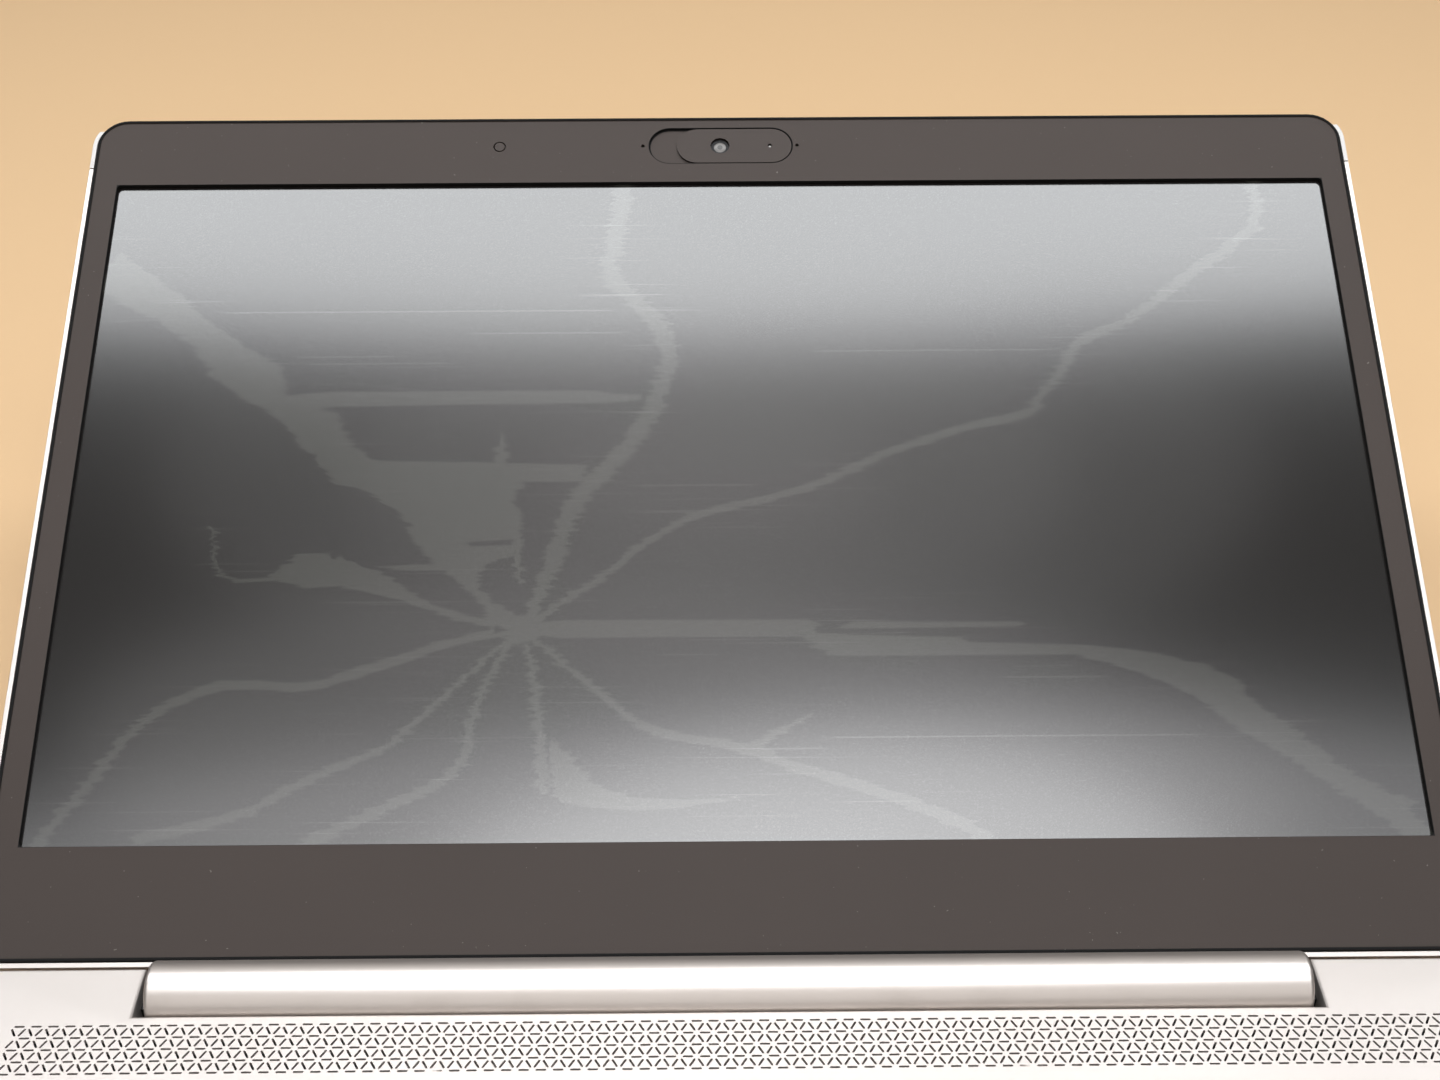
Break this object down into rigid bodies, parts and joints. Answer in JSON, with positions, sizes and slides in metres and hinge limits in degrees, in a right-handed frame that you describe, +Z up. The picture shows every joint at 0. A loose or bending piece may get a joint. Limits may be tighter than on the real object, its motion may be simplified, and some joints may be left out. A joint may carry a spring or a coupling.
{
  "type": "broken laptop",
  "caption": "Open aluminium business laptop with a cracked, smeared display, a lid on a barrel hinge, a shuttered webcam, keyboard, touchpad, side sockets and inner boards.",
  "frame": {"origin": "on the table under the middle of the laptop's box with the lid open at rest", "axes": "+X to the right along the hinge, +Y from the front edge to the back, +Z up"},
  "size_m": [0.326, 0.435, 0.1168],
  "materials": {
    "aluminium": "bead-blasted, anodised",
    "barrel_metal": "satin",
    "bezel_plastic": "fine matte grain",
    "antenna_plastic": "matte",
    "screen_film": "anti-glare, with pale smears along the cracks",
    "display_glass": "cracked",
    "white_sheet": "matte",
    "board": "solder-masked board",
    "black_plastic": "matte",
    "dark_steel": "blackened",
    "bright_steel": "bright",
    "copper": "bare copper",
    "rubber": "matte",
    "key_plastic": "fine matte",
    "touchpad_glass": "satin etched",
    "lens": "gloss",
    "battery_film": "film wrap"
  },
  "bodies": {
    "base": {"deck": "aluminium", "bottom_cover": "aluminium", "front_foot": "rubber", "rear_foot": "rubber", "cover_screw_1": "dark_steel", "cover_screw_2": "dark_steel", "cover_screw_3": "dark_steel", "cover_screw_4": "dark_steel", "cover_screw_5": "dark_steel", "cover_screw_6": "dark_steel", "keyboard_tray": "dark_steel", "key_field": "key_plastic", "touchpad": "touchpad_glass", "touchpad_board": "board", "mainboard": "board", "memory_module": "board", "storage_module": "board", "wireless_card": "bright_steel", "battery_pack": "battery_film", "fan_housing": "black_plastic", "heat_spreader": "copper", "fin_stack": "copper", "heat_pipe": "copper", "speaker_left": "black_plastic", "speaker_right": "black_plastic", "usb_socket_left": "bright_steel", "usb_socket_right": "bright_steel", "video_socket": "bright_steel", "usb_c_socket": "bright_steel", "audio_socket": "black_plastic", "hinge_bracket_left": "dark_steel", "hinge_bracket_right": "dark_steel"},
    "lid": {"lid_cover": "aluminium", "antenna_strip": "antenna_plastic", "screen_bezel": "bezel_plastic", "polariser_film": "screen_film", "display_cell": "display_glass", "backlight_unit": "white_sheet", "display_driver_board": "board", "display_cable": "black_plastic", "webcam_board": "board", "webcam_lens": "lens", "light_sensor_window": "lens", "hinge_barrel_cover": "barrel_metal", "hinge_leaf_left": "dark_steel", "hinge_leaf_right": "dark_steel", "hinge_pin_left": "bright_steel", "hinge_pin_right": "bright_steel"},
    "shutter": {"webcam_shutter": "bezel_plastic"},
    "fan": {"fan_rotor": "black_plastic"},
    "power": {"power_button": "aluminium"},
    "pad_button_left": {"touchpad_button_left": "touchpad_glass"},
    "pad_button_right": {"touchpad_button_right": "touchpad_glass"},
    "key_backspace": {"backspace_key": "key_plastic"},
    "key_tab": {"tab_key": "key_plastic"},
    "key_caps": {"caps_key": "key_plastic"},
    "key_enter": {"enter_key": "key_plastic"},
    "key_left_shift": {"left_shift_key": "key_plastic"},
    "key_right_shift": {"right_shift_key": "key_plastic"},
    "key_space": {"space_bar": "key_plastic"}
  },
  "joints": [
    {"name": "lid_hinge", "type": "hinge", "parent": "base", "child": "lid", "pos_m": [0, 0.01189, 0.0114], "axis": [1, 0, 0], "range_deg": [-28, 152]},
    {"name": "shutter_slide", "type": "slide", "parent": "lid", "child": "shutter", "axis": [-1, 0, 0], "range_m": [0, 0.007]},
    {"name": "fan_spin", "type": "hinge", "parent": "base", "child": "fan", "pos_m": [-0.117, -0.05111, 0.0054], "axis": [0, 0, 1], "continuous": true},
    {"name": "power_press", "type": "slide", "parent": "base", "child": "power", "axis": [0, 0, -1], "range_m": [0, 0.0003], "stiffness_N_per_m": 4000, "springref_m": -0.0002},
    {"name": "pad_button_left_press", "type": "slide", "parent": "base", "child": "pad_button_left", "axis": [0, 0, -1], "range_m": [0, 0.0005], "stiffness_N_per_m": 1500, "springref_m": -0.0002},
    {"name": "pad_button_right_press", "type": "slide", "parent": "base", "child": "pad_button_right", "axis": [0, 0, -1], "range_m": [0, 0.0005], "stiffness_N_per_m": 1500, "springref_m": -0.0002},
    {"name": "backspace_press", "type": "slide", "parent": "base", "child": "key_backspace", "axis": [0, 0, -1], "range_m": [0, 0.0012], "stiffness_N_per_m": 350, "springref_m": -0.0006},
    {"name": "tab_press", "type": "slide", "parent": "base", "child": "key_tab", "axis": [0, 0, -1], "range_m": [0, 0.0012], "stiffness_N_per_m": 350, "springref_m": -0.0006},
    {"name": "caps_press", "type": "slide", "parent": "base", "child": "key_caps", "axis": [0, 0, -1], "range_m": [0, 0.0012], "stiffness_N_per_m": 350, "springref_m": -0.0006},
    {"name": "enter_press", "type": "slide", "parent": "base", "child": "key_enter", "axis": [0, 0, -1], "range_m": [0, 0.0012], "stiffness_N_per_m": 350, "springref_m": -0.0006},
    {"name": "left_shift_press", "type": "slide", "parent": "base", "child": "key_left_shift", "axis": [0, 0, -1], "range_m": [0, 0.0012], "stiffness_N_per_m": 350, "springref_m": -0.0006},
    {"name": "right_shift_press", "type": "slide", "parent": "base", "child": "key_right_shift", "axis": [0, 0, -1], "range_m": [0, 0.0012], "stiffness_N_per_m": 350, "springref_m": -0.0006},
    {"name": "space_press", "type": "slide", "parent": "base", "child": "key_space", "axis": [0, 0, -1], "range_m": [0, 0.0012], "stiffness_N_per_m": 350, "springref_m": -0.0006}
  ]
}
